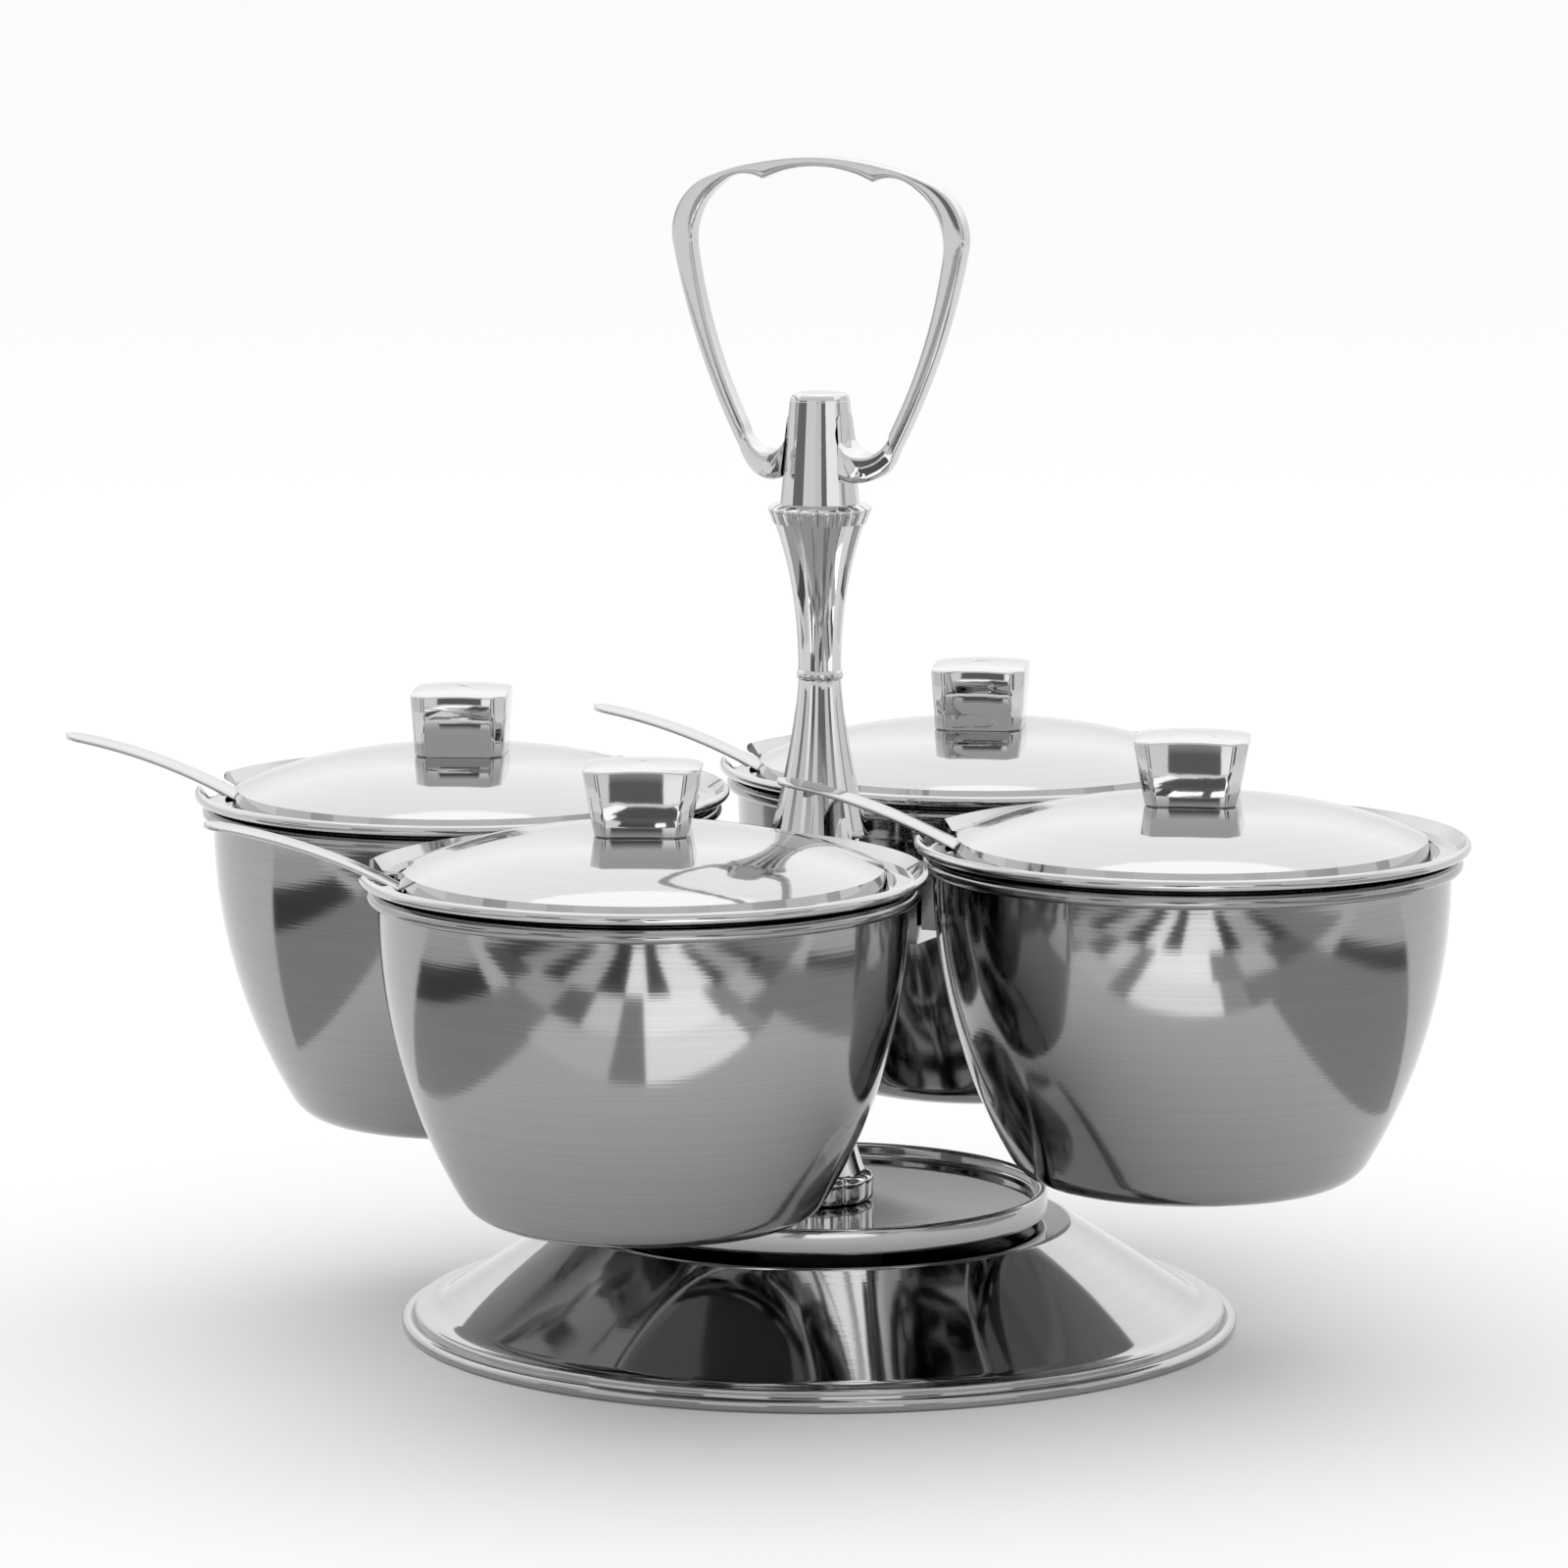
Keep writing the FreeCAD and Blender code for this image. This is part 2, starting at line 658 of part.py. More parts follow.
def make_spoon():
    """Sauce spoon: arched strip handle through the lid's notch, knee, straight shank and round cup."""
    arc_centre = on_circle(spoon_rest(), spoon_arc_radius, spoon_rest_slope - 90)
    knee_start = on_circle(arc_centre, spoon_arc_radius, spoon_knee_slope + 90)
    knee_centre = on_circle(knee_start, spoon_knee_radius, spoon_knee_slope - 90)
    knee_end = on_circle(knee_centre, spoon_knee_radius, spoon_shank_slope + 90)
    cup_bottom = bowl_sheet + spoon_rest_clearance
    cup_top = cup_bottom + spoon_cup_depth
    slope = math.radians(spoon_shank_slope)
    shank_run = (knee_end.z - cup_top) / math.tan(slope)
    shank_end = section_point(knee_end.x - shank_run, cup_top)
    half = spoon_thickness / 2
    middle_arc = (spoon_tip_slope + spoon_knee_slope) / 2 + 90
    middle_knee = (spoon_knee_slope + spoon_shank_slope) / 2 + 90

    def offset_path(side):
        handle = spoon_arc_radius + side * half
        knee = spoon_knee_radius + side * half
        normal = on_circle(centre, side * half, spoon_shank_slope + 90)
        return [
            on_circle(arc_centre, handle, spoon_tip_slope + 90),
            (on_circle(arc_centre, handle, middle_arc),
             on_circle(arc_centre, handle, spoon_knee_slope + 90)),
            (on_circle(knee_centre, knee, middle_knee),
             on_circle(knee_centre, knee, spoon_shank_slope + 90)),
            shank_end + normal,
        ]

    upper = offset_path(1)
    lower = offset_path(-1)
    back = [
        lower[3],
        lower[2][1],
        (lower[2][0], lower[1][1]),
        (lower[1][0], lower[0]),
    ]
    strip = extruded(outline(upper[0], upper[1:] + back), Vector(0, spoon_width, 0))
    strip.translate(Vector(0, -spoon_width / 2, 0))
    tip = upper[0].x
    end_centre = tip - spoon_width / 2
    plan_bottom = -cut_overrun
    plan = outline(
        Vector(shank_end.x - cut_overrun, -spoon_width / 2, plan_bottom),
        [
            Vector(end_centre, -spoon_width / 2, plan_bottom),
            (Vector(tip, 0, plan_bottom), Vector(end_centre, spoon_width / 2, plan_bottom)),
            Vector(shank_end.x - cut_overrun, spoon_width / 2, plan_bottom),
        ],
    )
    strip = strip.common(extruded(plan, Vector(0, 0, upper[0].z + 2 * cut_overrun)))
    ball = (spoon_cup_radius ** 2 + spoon_cup_depth ** 2) / (2 * spoon_cup_depth)
    ball_centre = section_point(0, cup_bottom + ball)
    edge_angle = math.degrees(math.asin((spoon_cup_depth - ball) / ball))
    inner_ball = ball - spoon_thickness
    inner_angle = math.degrees(math.asin((spoon_cup_depth - ball) / inner_ball))
    cup = revolved(section_point(0, cup_bottom), [
        (on_circle(ball_centre, ball, (edge_angle - 90) / 2), on_circle(ball_centre, ball, edge_angle)),
        on_circle(ball_centre, inner_ball, inner_angle),
        (on_circle(ball_centre, inner_ball, (inner_angle - 90) / 2),
         section_point(0, cup_bottom + spoon_thickness)),
    ])
    cup.translate(Vector(shank_end.x - spoon_cup_radius + spoon_joint_overlap, 0, 0))
    return strip.fuse(cup)


def placed(shape, turn, bowl_bearing):
    """Turn a station's piece about the bowl's axis and carry it to its bowl's place."""
    angle = math.radians(bowl_bearing)
    shape.rotate(centre, axis_z, turn)
    shape.translate(Vector(
        bowl_circle_radius * math.cos(angle),
        bowl_circle_radius * math.sin(angle),
        bowl_floor_height,
    ))
    return shape


def main():
    os.makedirs("parts", exist_ok=True)
    save("base_shell", make_base_shell())
    save("pivot_bush", make_pivot_bush())
    save("turntable_pan", make_turntable_pan())
    save("tie_rod", make_tie_rod())
    save("rod_washer", make_rod_washer())
    save("lock_nut", make_lock_nut())
    save(
        "stem_collar",
        make_lobed_disc(collar_radius, collar_lobe_depth, collar_lobes, pan_floor_top, collar_height),
    )
    save(
        "lower_stem",
        fluted_flare(stem_foot_radius, stem_waist_radius, collar_top, carrier_bottom, stem_curve),
    )
    save("carrier", make_carrier())
    save(
        "column_foot",
        fluted_flare(
            foot_flare_radius, column_neck_radius, column_foot_height, ring_bottom, foot_flare_curve,
        ),
    )
    save("column_ring", make_column_ring())
    save(
        "column_top",
        fluted_flare(
            top_flare_radius, column_neck_radius, rosette_bottom, top_flare_bottom, top_flare_curve,
        ),
    )
    save(
        "rosette",
        make_lobed_disc(rosette_radius, rosette_lobe_depth, rosette_lobes, rosette_bottom, rosette_height),
    )
    save("handle", make_handle())
    for name, bowl_bearing in bowl_bearing_degrees.items():
        spoon_bearing = spoon_bearing_degrees[name]
        save("bowl_" + name, placed(make_bowl(), 0, bowl_bearing))
        save("hanger_" + name, placed(make_hanger(), bowl_bearing + 180, bowl_bearing))
        save("lid_" + name, placed(make_lid(), spoon_bearing, bowl_bearing))
        save("knob_" + name, placed(make_knob(knob_turn_degrees[name]), spoon_bearing, bowl_bearing))
        save("knob_screw_" + name, placed(make_knob_screw(), 0, bowl_bearing))
        save("spoon_" + name, placed(make_spoon(), spoon_bearing, bowl_bearing))


main()
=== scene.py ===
import math

import bmesh
import bpy
from mathutils import Matrix, Vector


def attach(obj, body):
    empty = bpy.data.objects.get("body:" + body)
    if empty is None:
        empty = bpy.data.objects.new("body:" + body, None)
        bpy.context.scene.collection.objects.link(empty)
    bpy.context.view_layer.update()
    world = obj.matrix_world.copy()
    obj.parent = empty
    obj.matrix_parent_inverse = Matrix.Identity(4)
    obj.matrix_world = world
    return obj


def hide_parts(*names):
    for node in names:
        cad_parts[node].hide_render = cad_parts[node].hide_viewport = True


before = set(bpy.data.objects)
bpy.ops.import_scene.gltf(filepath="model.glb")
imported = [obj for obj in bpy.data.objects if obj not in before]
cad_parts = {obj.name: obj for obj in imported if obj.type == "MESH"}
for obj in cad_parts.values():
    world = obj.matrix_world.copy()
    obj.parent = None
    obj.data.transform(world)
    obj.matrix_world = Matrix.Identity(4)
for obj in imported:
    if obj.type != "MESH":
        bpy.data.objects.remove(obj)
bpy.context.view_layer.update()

# Pieces are drawn in millimetres and made into meshes in metres. The stage is in metres.
MM = 0.001
WELD_DISTANCE = 1e-6
SEGMENTS = 192
COARSE_SEGMENTS = 96
SOCKET_SEGMENTS = 240
LOBE_SEGMENTS = 480

# Stations: bearing of the bowl, bearing of its spoon and turn of its knob, in degrees
STATIONS = {
    "front": (270, 203, 0),
    "right": (0, 190, 9),
    "back": (90, 190, 99),
    "left": (180, 193, 99),
}
RIM = 56.0
RIM_GAP = 4.5
CIRCLE = (2 * RIM + RIM_GAP) / math.sqrt(2)


# Outlines

def arc(cx, cz, radius, start, end, count):
    points = []
    for i in range(count + 1):
        a = math.radians(start + (end - start) * i / count)
        points.append((cx + radius * math.cos(a), cz + radius * math.sin(a)))
    return points


def three_point_arc(p, q, r, count):
    """Points of the circle's arc from p through q to r."""
    (ax, ay), (bx, by), (cx, cy) = p, q, r
    d = 2 * (ax * (by - cy) + bx * (cy - ay) + cx * (ay - by))
    a2, b2, c2 = ax * ax + ay * ay, bx * bx + by * by, cx * cx + cy * cy
    ux = (a2 * (by - cy) + b2 * (cy - ay) + c2 * (ay - by)) / d
    uy = (a2 * (cx - bx) + b2 * (ax - cx) + c2 * (bx - ax)) / d
    start = math.atan2(ay - uy, ax - ux)
    middle = (math.atan2(by - uy, bx - ux) - start) % (2 * math.pi)
    end = (math.atan2(cy - uy, cx - ux) - start) % (2 * math.pi)
    if middle > end:
        end -= 2 * math.pi
    radius = math.hypot(ax - ux, ay - uy)
    angles = [start + end * i / count for i in range(count + 1)]
    return [(ux + radius * math.cos(a), uy + radius * math.sin(a)) for a in angles]


# Mesh building

def make_object(name, verts, faces, sharp):
    mesh = bpy.data.meshes.new(name)
    mesh.from_pydata([[c * MM for c in v] for v in verts], [], faces)
    bm = bmesh.new()
    bm.from_mesh(mesh)
    bmesh.ops.remove_doubles(bm, verts=bm.verts, dist=WELD_DISTANCE)
    bmesh.ops.recalc_face_normals(bm, faces=bm.faces)
    bm.to_mesh(mesh)
    bm.free()
    obj = bpy.data.objects.new(name, mesh)
    bpy.context.scene.collection.objects.link(obj)
    smooth(obj, sharp)
    return obj


def smooth(obj, sharp):
    """Smooth shading, apart from edges that bend by more than sharp, in degrees."""
    obj.data.shade_smooth()
    obj.data.set_sharp_from_angle(angle=math.radians(sharp))


def skin(name, rings, closed_ends=False, loop=False, sharp=32):
    """Quads between rings of equal length. Each ring is closed."""
    count = len(rings[0])
    verts = [v for ring in rings for v in ring]
    faces = []
    pairs = len(rings) if loop else len(rings) - 1
    for i in range(pairs):
        j = (i + 1) % len(rings)
        for k in range(count):
            m = (k + 1) % count
            faces.append((i * count + k, i * count + m, j * count + m, j * count + k))
    if closed_ends:
        faces.append(tuple(range(count)))
        faces.append(tuple((len(rings) - 1) * count + k for k in range(count)))
    return make_object(name, verts, faces, sharp)


def lathe(name, outline, shape=None, segments=SEGMENTS, sharp=32):
    """Closed outline of (radius, height) turned about Z. shape(angle) scales the radius."""
    rings = []
    for r, z in outline:
        ring = []
        for k in range(segments):
            a = 2 * math.pi * k / segments
            f = shape(a) if shape else 1.0
            ring.append((r * f * math.cos(a), r * f * math.sin(a), z))
        rings.append(ring)
    return skin(name, rings, loop=True, sharp=sharp)


def cut_away(obj, cutter, sharp):
    """Take the cutter's shape out of the object, and the cutter out of the scene."""
    cut = obj.modifiers.new("notch", "BOOLEAN")
    cut.operation = "DIFFERENCE"
    cut.solver = "EXACT"
    cut.object = cutter
    bpy.context.view_layer.update()
    graph = bpy.context.evaluated_depsgraph_get()
    mesh = bpy.data.meshes.new_from_object(obj.evaluated_get(graph))
    obj.modifiers.clear()
    obj.data = mesh
    smooth(obj, sharp)
    bpy.data.objects.remove(cutter)


# Procedural materials

SMUDGE_SCALE, SMUDGE_DETAIL = 38.0, 4.0
RING_DETAIL = 3.0
SCRATCH_SCALE, SCRATCH_DETAIL, SCRATCH_STRETCH = 420.0, 2.0, (1.0, 9.0, 3.0)
BUMP_DISTANCE = 0.0001
GRAIN_SCALE, GRAIN_DETAIL, GRAIN_SHADE = 300.0, 2.0, 0.92
NYLON_ROUGHNESS = 0.5


def new_material(name):
    material = bpy.data.materials.new(name)
    material.use_nodes = True
    tree = material.node_tree
    return material, tree, tree.nodes["Principled BSDF"]


def noise(tree, vector, scale, detail):
    node = tree.nodes.new("ShaderNodeTexNoise")
    node.inputs["Scale"].default_value = scale
    node.inputs["Detail"].default_value = detail
    tree.links.new(vector, node.inputs["Vector"])
    return node.outputs["Fac"]


def add_bump(tree, shader, height, strength):
    bump = tree.nodes.new("ShaderNodeBump")
    bump.inputs["Strength"].default_value = strength
    bump.inputs["Distance"].default_value = BUMP_DISTANCE
    tree.links.new(height, bump.inputs["Height"])
    tree.links.new(bump.outputs["Normal"], shader.inputs["Normal"])


def add_tint(tree, shader, factor, colour, dark, light):
    """Base colour between a darker and a lighter share of one colour."""
    tint = tree.nodes.new("ShaderNodeMix")
    tint.data_type = "RGBA"
    tint.inputs["A"].default_value = (*[c * dark for c in colour], 1)
    tint.inputs["B"].default_value = (*[c * light for c in colour], 1)
    tree.links.new(factor, tint.inputs["Factor"])
    tree.links.new(tint.outputs["Result"], shader.inputs["Base Color"])


def turned_vector(tree, coord):
    """Distance from the Z axis and height, for marks that run round it."""
    split = tree.nodes.new("ShaderNodeSeparateXYZ")
    tree.links.new(coord, split.inputs["Vector"])
    flat = tree.nodes.new("ShaderNodeCombineXYZ")
    tree.links.new(split.outputs["X"], flat.inputs["X"])
    tree.links.new(split.outputs["Y"], flat.inputs["Y"])
    length = tree.nodes.new("ShaderNodeVectorMath")
    length.operation = "LENGTH"
    tree.links.new(flat.outputs["Vector"], length.inputs[0])
    along = tree.nodes.new("ShaderNodeCombineXYZ")
    tree.links.new(length.outputs["Value"], along.inputs["X"])
    tree.links.new(split.outputs["Z"], along.inputs["Y"])
    return along.outputs["Vector"]


def metal(name, colour, rough, rough_spread, rings=0.0, ring_bump=0.0, ring_tint=0.0, scratch=0.0):
    """Polished metal with smudges, and with turned rings about Z or fine scratches."""
    material, tree, shader = new_material(name)
    shader.inputs["Base Color"].default_value = (*colour, 1)
    shader.inputs["Metallic"].default_value = 1.0
    coord = tree.nodes.new("ShaderNodeTexCoord").outputs["Object"]
    spread = tree.nodes.new("ShaderNodeMapRange")
    spread.inputs["To Min"].default_value = rough - rough_spread
    spread.inputs["To Max"].default_value = rough + rough_spread
    tree.links.new(noise(tree, coord, SMUDGE_SCALE, SMUDGE_DETAIL), spread.inputs["Value"])
    tree.links.new(spread.outputs["Result"], shader.inputs["Roughness"])
    if rings:
        turned = noise(tree, turned_vector(tree, coord), rings, RING_DETAIL)
        add_bump(tree, shader, turned, ring_bump)
        add_tint(tree, shader, turned, colour, 1 - ring_tint, 1 + ring_tint)
    else:
        stretch = tree.nodes.new("ShaderNodeMapping")
        stretch.inputs["Scale"].default_value = SCRATCH_STRETCH
        tree.links.new(coord, stretch.inputs["Vector"])
        fine = noise(tree, stretch.outputs["Vector"], SCRATCH_SCALE, SCRATCH_DETAIL)
        add_bump(tree, shader, fine, scratch)
    return material


def plastic(name, colour):
    material, tree, shader = new_material(name)
    shader.inputs["Roughness"].default_value = NYLON_ROUGHNESS
    coord = tree.nodes.new("ShaderNodeTexCoord").outputs["Object"]
    add_tint(tree, shader, noise(tree, coord, GRAIN_SCALE, GRAIN_DETAIL), colour, GRAIN_SHADE, 1.0)
    return material


STEEL = (0.52, 0.52, 0.515)
# Painted shade: the bowls' steel is darker than the same stainless steel of the lids and sheet, so that the
# bowls' lower halves read dark, as if reflecting a shadowed table.
SHADED_BOWL_STEEL = (0.34, 0.34, 0.338)
BASE_STEEL = (0.42, 0.42, 0.418)
CHROME = (0.6, 0.6, 0.605)
PLAIN_STEEL = (0.6, 0.6, 0.6)
NYLON = (0.85, 0.84, 0.8)
# Bowls: real turned rings, on a base colour darkened as painted shade.
spun_shaded = metal("spun_shaded_steel", SHADED_BOWL_STEEL, 0.1, 0.035, rings=1800.0, ring_bump=0.08, ring_tint=0.12)
lid_steel = metal("lid_steel", STEEL, 0.055, 0.025, rings=700.0, ring_bump=0.04, ring_tint=0.04)
base_steel = metal("base_steel", BASE_STEEL, 0.06, 0.03, rings=800.0, ring_bump=0.06, ring_tint=0.05)
sheet_steel = metal("sheet_steel", STEEL, 0.06, 0.03, scratch=0.04)
chrome = metal("chrome", CHROME, 0.05, 0.025, scratch=0.02)
plain_steel = metal("plain_steel", PLAIN_STEEL, 0.3, 0.08, scratch=0.1)
nylon = plastic("nylon", NYLON)


def dress(obj, material, body, slot, *nodes):
    obj.data.materials.clear()
    obj.data.materials.append(material)
    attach(obj, body)
    if nodes:
        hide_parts(*nodes)
    return obj


# Base and turntable pan

BASE_BORE, BASE_TOP, BASE_SHEET = 6.0, 22.0, 1.2
NECK_RADIUS, NECK_ROUND = 52.0, 2.5
LEDGE_INNER, LEDGE_LEVEL = 78.1, 5.1
LEDGE_MIDDLE, LEDGE_OUTER = (80.4, 4.25), (82.9, 4.2)
GROOVE_MIDDLE, GROOVE_FOOT, GROOVE_END = (83.45, 3.9), (83.6, 3.3), (83.65, 2.3)
BASE_EDGE_CENTRE, BASE_EDGE_ROUND = (84.95, 1.35), 1.35
HOLLOW_RADIUS, HOLLOW_LEVEL = 82.5, 3.0
ROD_BORE = 3.1
PAN_SKIRT, PAN_BOTTOM, PAN_FLOOR, PAN_TOP = 23.4, 24.8, 26.0, 28.9
PAN_INNER, PAN_EDGE, PAN_FILLET = 45.2, 0.95, 1.0


def build_base():
    lean = math.atan2(BASE_TOP - LEDGE_LEVEL, LEDGE_INNER - NECK_RADIUS)
    neck = NECK_RADIUS - math.tan(lean / 2) * NECK_ROUND
    drop = BASE_SHEET / math.cos(lean)
    under = BASE_TOP - BASE_SHEET
    outline = [(BASE_BORE, BASE_TOP), (neck, BASE_TOP)]
    outline += arc(neck, BASE_TOP - NECK_ROUND, NECK_ROUND, 90, 90 - math.degrees(lean), 10)
    outline += three_point_arc((LEDGE_INNER, LEDGE_LEVEL), LEDGE_MIDDLE, LEDGE_OUTER, 10)
    outline += three_point_arc(LEDGE_OUTER, GROOVE_MIDDLE, GROOVE_FOOT, 6)[1:]
    outline += [GROOVE_END] + arc(*BASE_EDGE_CENTRE, BASE_EDGE_ROUND, 150, -90, 24)
    outline += [(HOLLOW_RADIUS, 0.0), (HOLLOW_RADIUS, HOLLOW_LEVEL), (LEDGE_INNER, LEDGE_LEVEL - drop)]
    outline += [(NECK_RADIUS - (drop - BASE_SHEET) / math.tan(lean), under), (BASE_BORE, under)]
    return lathe("base", outline, sharp=25)


def build_pan():
    middle = PAN_INNER + PAN_EDGE
    outline = [(ROD_BORE, PAN_BOTTOM), (PAN_INNER, PAN_BOTTOM), (PAN_INNER, PAN_SKIRT), (middle, PAN_SKIRT)]
    outline += arc(middle, PAN_SKIRT + PAN_EDGE, PAN_EDGE, -90, 0, 8)
    outline += arc(middle, PAN_TOP - PAN_EDGE, PAN_EDGE, 0, 180, 16)
    outline += arc(PAN_INNER - PAN_FILLET, PAN_FLOOR + PAN_FILLET, PAN_FILLET, 0, -90, 8)
    outline += [(ROD_BORE, PAN_FLOOR)]
    return lathe("pan", outline, sharp=35)


dress(build_base(), base_steel, "base", "stainless", "base_shell")
dress(build_pan(), base_steel, "carousel", "stainless", "turntable_pan")


# Column

COLUMN_FLUTES, COLUMN_FLUTE_DEPTH, FLARE_STEPS = 12, 0.035, 32
COLLAR_RADIUS, COLLAR_ROUND, COLLAR_LOBES, COLLAR_LOBE_DEPTH = 11.2, 1.6, 10, 0.8
STEM_WIDE, STEM_NECK, STEM_CURVE = 9.4, 4.9, 4.0
FOOT_WIDE, FOOT_CURVE = 10.2, 1.4
TOP_WIDE, TOP_CURVE = 9.2, 2.2
COLUMN_NECK, RING_RADIUS = 4.4, 4.8
STEM_FOOT, STEM_TOP, COLUMN_FOOT, RING_BOTTOM, RING_TOP = 32.0, 80.0, 102.0, 134.2, 136.2
ROSETTE_FOOT, HANDLE_FOOT = 166.4, 170.5
ROSETTE_RADIUS, ROSETTE_LOBES, ROSETTE_LOBE_DEPTH = 10.7, 16, 0.7
ROSETTE_SIDE = [(9.6, ROSETTE_FOOT), (10.5, 168.6)]
ROSETTE_EDGE_CENTRE, ROSETTE_EDGE_ROUND = (10.2, 169.2), 0.5
ROSETTE_CAP = [(9.4, 170.2), (8.4, HANDLE_FOOT)]


def flutes(count, depth):
    """Radius factor of shallow hollow flutes between sharp ridges."""
    half = math.pi / count
    low = math.cos(half) - depth

    def factor(angle):
        t = ((angle / (2 * half)) % 1.0) * 2 - 1
        return low + (1 - low) * t * t
    return factor


def lobes(count, depth_share):
    """Radius factor of round lobes with sharp valleys."""
    def factor(angle):
        t = ((angle * count / (2 * math.pi)) % 1.0) * 2 - 1
        return 1 - depth_share + depth_share * math.sqrt(max(1 - t * t, 0.0))
    return factor


def flare(name, wide, neck, wide_z, neck_z, curve):
    """Fluted trumpet from its wide end to its neck."""
    outline = []
    for i in range(FLARE_STEPS + 1):
        s = i / FLARE_STEPS
        outline.append((neck + (wide - neck) * (1 - s) ** curve, wide_z + (neck_z - wide_z) * s))
    outline += [(ROD_BORE, neck_z), (ROD_BORE, wide_z)]
    return lathe(name, outline, flutes(COLUMN_FLUTES, COLUMN_FLUTE_DEPTH), sharp=24)


def build_collar():
    """Lobed disc with rounded edges."""
    side = COLLAR_RADIUS - COLLAR_ROUND
    outline = [(ROD_BORE, PAN_FLOOR)]
    outline += arc(side, PAN_FLOOR + COLLAR_ROUND, COLLAR_ROUND, -90, 0, 8)
    outline += arc(side, STEM_FOOT - COLLAR_ROUND, COLLAR_ROUND, 0, 90, 8)
    outline += [(ROD_BORE, STEM_FOOT)]
    shape = lobes(COLLAR_LOBES, COLLAR_LOBE_DEPTH / COLLAR_RADIUS)
    return lathe("collar", outline, shape, segments=LOBE_SEGMENTS, sharp=40)


def build_rosette():
    """Scalloped disc that tapers down to the column."""
    outline = [(ROD_BORE, ROSETTE_FOOT)] + ROSETTE_SIDE
    outline += arc(*ROSETTE_EDGE_CENTRE, ROSETTE_EDGE_ROUND, -45, 60, 6)
    outline += ROSETTE_CAP + [(ROD_BORE, HANDLE_FOOT)]
    shape = lobes(ROSETTE_LOBES, ROSETTE_LOBE_DEPTH / ROSETTE_RADIUS)
    return lathe("rosette_piece", outline, shape, segments=LOBE_SEGMENTS, sharp=40)


def build_ring():
    """Small bead between the two trumpets."""
    bottom, top = (COLUMN_NECK, RING_BOTTOM), (COLUMN_NECK, RING_TOP)
    bulge = three_point_arc(bottom, (RING_RADIUS, (RING_BOTTOM + RING_TOP) / 2), top, 12)
    return lathe("ring", [(ROD_BORE, RING_BOTTOM)] + bulge + [(ROD_BORE, RING_TOP)])


collar = build_collar()
stem = flare("stem", STEM_WIDE, STEM_NECK, STEM_FOOT, STEM_TOP, STEM_CURVE)
foot = flare("foot", FOOT_WIDE, COLUMN_NECK, COLUMN_FOOT, RING_BOTTOM, FOOT_CURVE)
top = flare("top", TOP_WIDE, COLUMN_NECK, ROSETTE_FOOT, RING_TOP, TOP_CURVE)
dress(collar, chrome, "carousel", "chrome", "stem_collar")
dress(stem, chrome, "carousel", "chrome", "lower_stem")
dress(foot, chrome, "carousel", "chrome", "column_foot")
dress(top, chrome, "carousel", "chrome", "column_top")
dress(build_rosette(), chrome, "carousel", "chrome", "rosette")
dress(build_ring(), chrome, "carousel", "chrome", "column_ring")


# Handle: lyre loop with finger scallops, and the fluted socket it is cast with

HALF_WIDTH, HANDLE_HEIGHT = 32.6, 70.5
HANDLE_HALF_DEPTH, HANDLE_EDGE, SADDLE_EDGE = 2.0, 0.7, 1.6
SADDLE_DEPTH, SADDLE_TOP_DEPTH, SADDLE_FLAT, SADDLE_LENGTH = 5.2, 3.4, 9.0, 16.2
SADDLE_SHOULDER, SADDLE_TOP, SADDLE_LIMIT = 180.0, 189.5, 190.5
LOOP_STEPS = 20
SOCKET_FOOT, SOCKET_SIDE_TOP, SOCKET_TOP = 8.2, (6.25, 191.4), 193.0
SOCKET_ROUND, SOCKET_ROUND_CENTRE = 1.5, (4.65, 191.5)
SOCKET_FLUTES, SOCKET_FLUTE_DEPTH = 10, 0.03

# Points along the loop's two edges, as shares of its half width and its height
LOOP_OUTER = [(0.0, 1.0), (0.38, 0.984), (0.752, 0.936), (0.933, 0.872), (1.0, 0.752), (0.802, 0.424),
              (0.53, 0.15), (0.44, 0.088), (0.2, 0.075)]
LOOP_INNER = [(0.0, 0.972), (0.195, 0.962), (0.377, 0.932), (0.515, 0.945), (0.666, 0.915), (0.807, 0.844),
              (0.856, 0.725), (0.712, 0.447), (0.5, 0.215), (0.33, 0.145), (0.17, 0.26)]


def loop_curve(shares, first_steps):
    """Arcs through each three points in turn, with first_steps on the first arc."""
    points = [(x * HALF_WIDTH, HANDLE_FOOT + z * HANDLE_HEIGHT) for x, z in shares]
    curve = three_point_arc(*points[:3], first_steps)
    for i in range(2, len(points) - 2, 2):
        curve += three_point_arc(*points[i:i + 3], LOOP_STEPS)[1:]
    return curve


def rounded_section(half_u, half_v, radius, steps=5):
    """Rectangle with round corners, as points round its middle."""
    points = []
    for su, sv, start in ((1, 1, 0), (-1, 1, 90), (-1, -1, 180), (1, -1, 270)):
        points += arc(su * (half_u - radius), sv * (half_v - radius), radius, start, start + 90, steps)
    return points


def saddle_depth(x, z):
    """Half depth of the loop, which widens at its feet towards the socket."""
    if z > SADDLE_LIMIT:
        return HANDLE_HALF_DEPTH
    along = min(max((SADDLE_LENGTH - abs(x)) / (SADDLE_LENGTH - SADDLE_FLAT), 0.0), 1.0)
    level = min(max((z - SADDLE_SHOULDER) / (SADDLE_TOP - SADDLE_SHOULDER), 0.0), 1.0)
    plan = HANDLE_HALF_DEPTH + (SADDLE_DEPTH - HANDLE_HALF_DEPTH) * along
    side = SADDLE_DEPTH + (SADDLE_TOP_DEPTH - SADDLE_DEPTH) * level
    return min(plan, side)


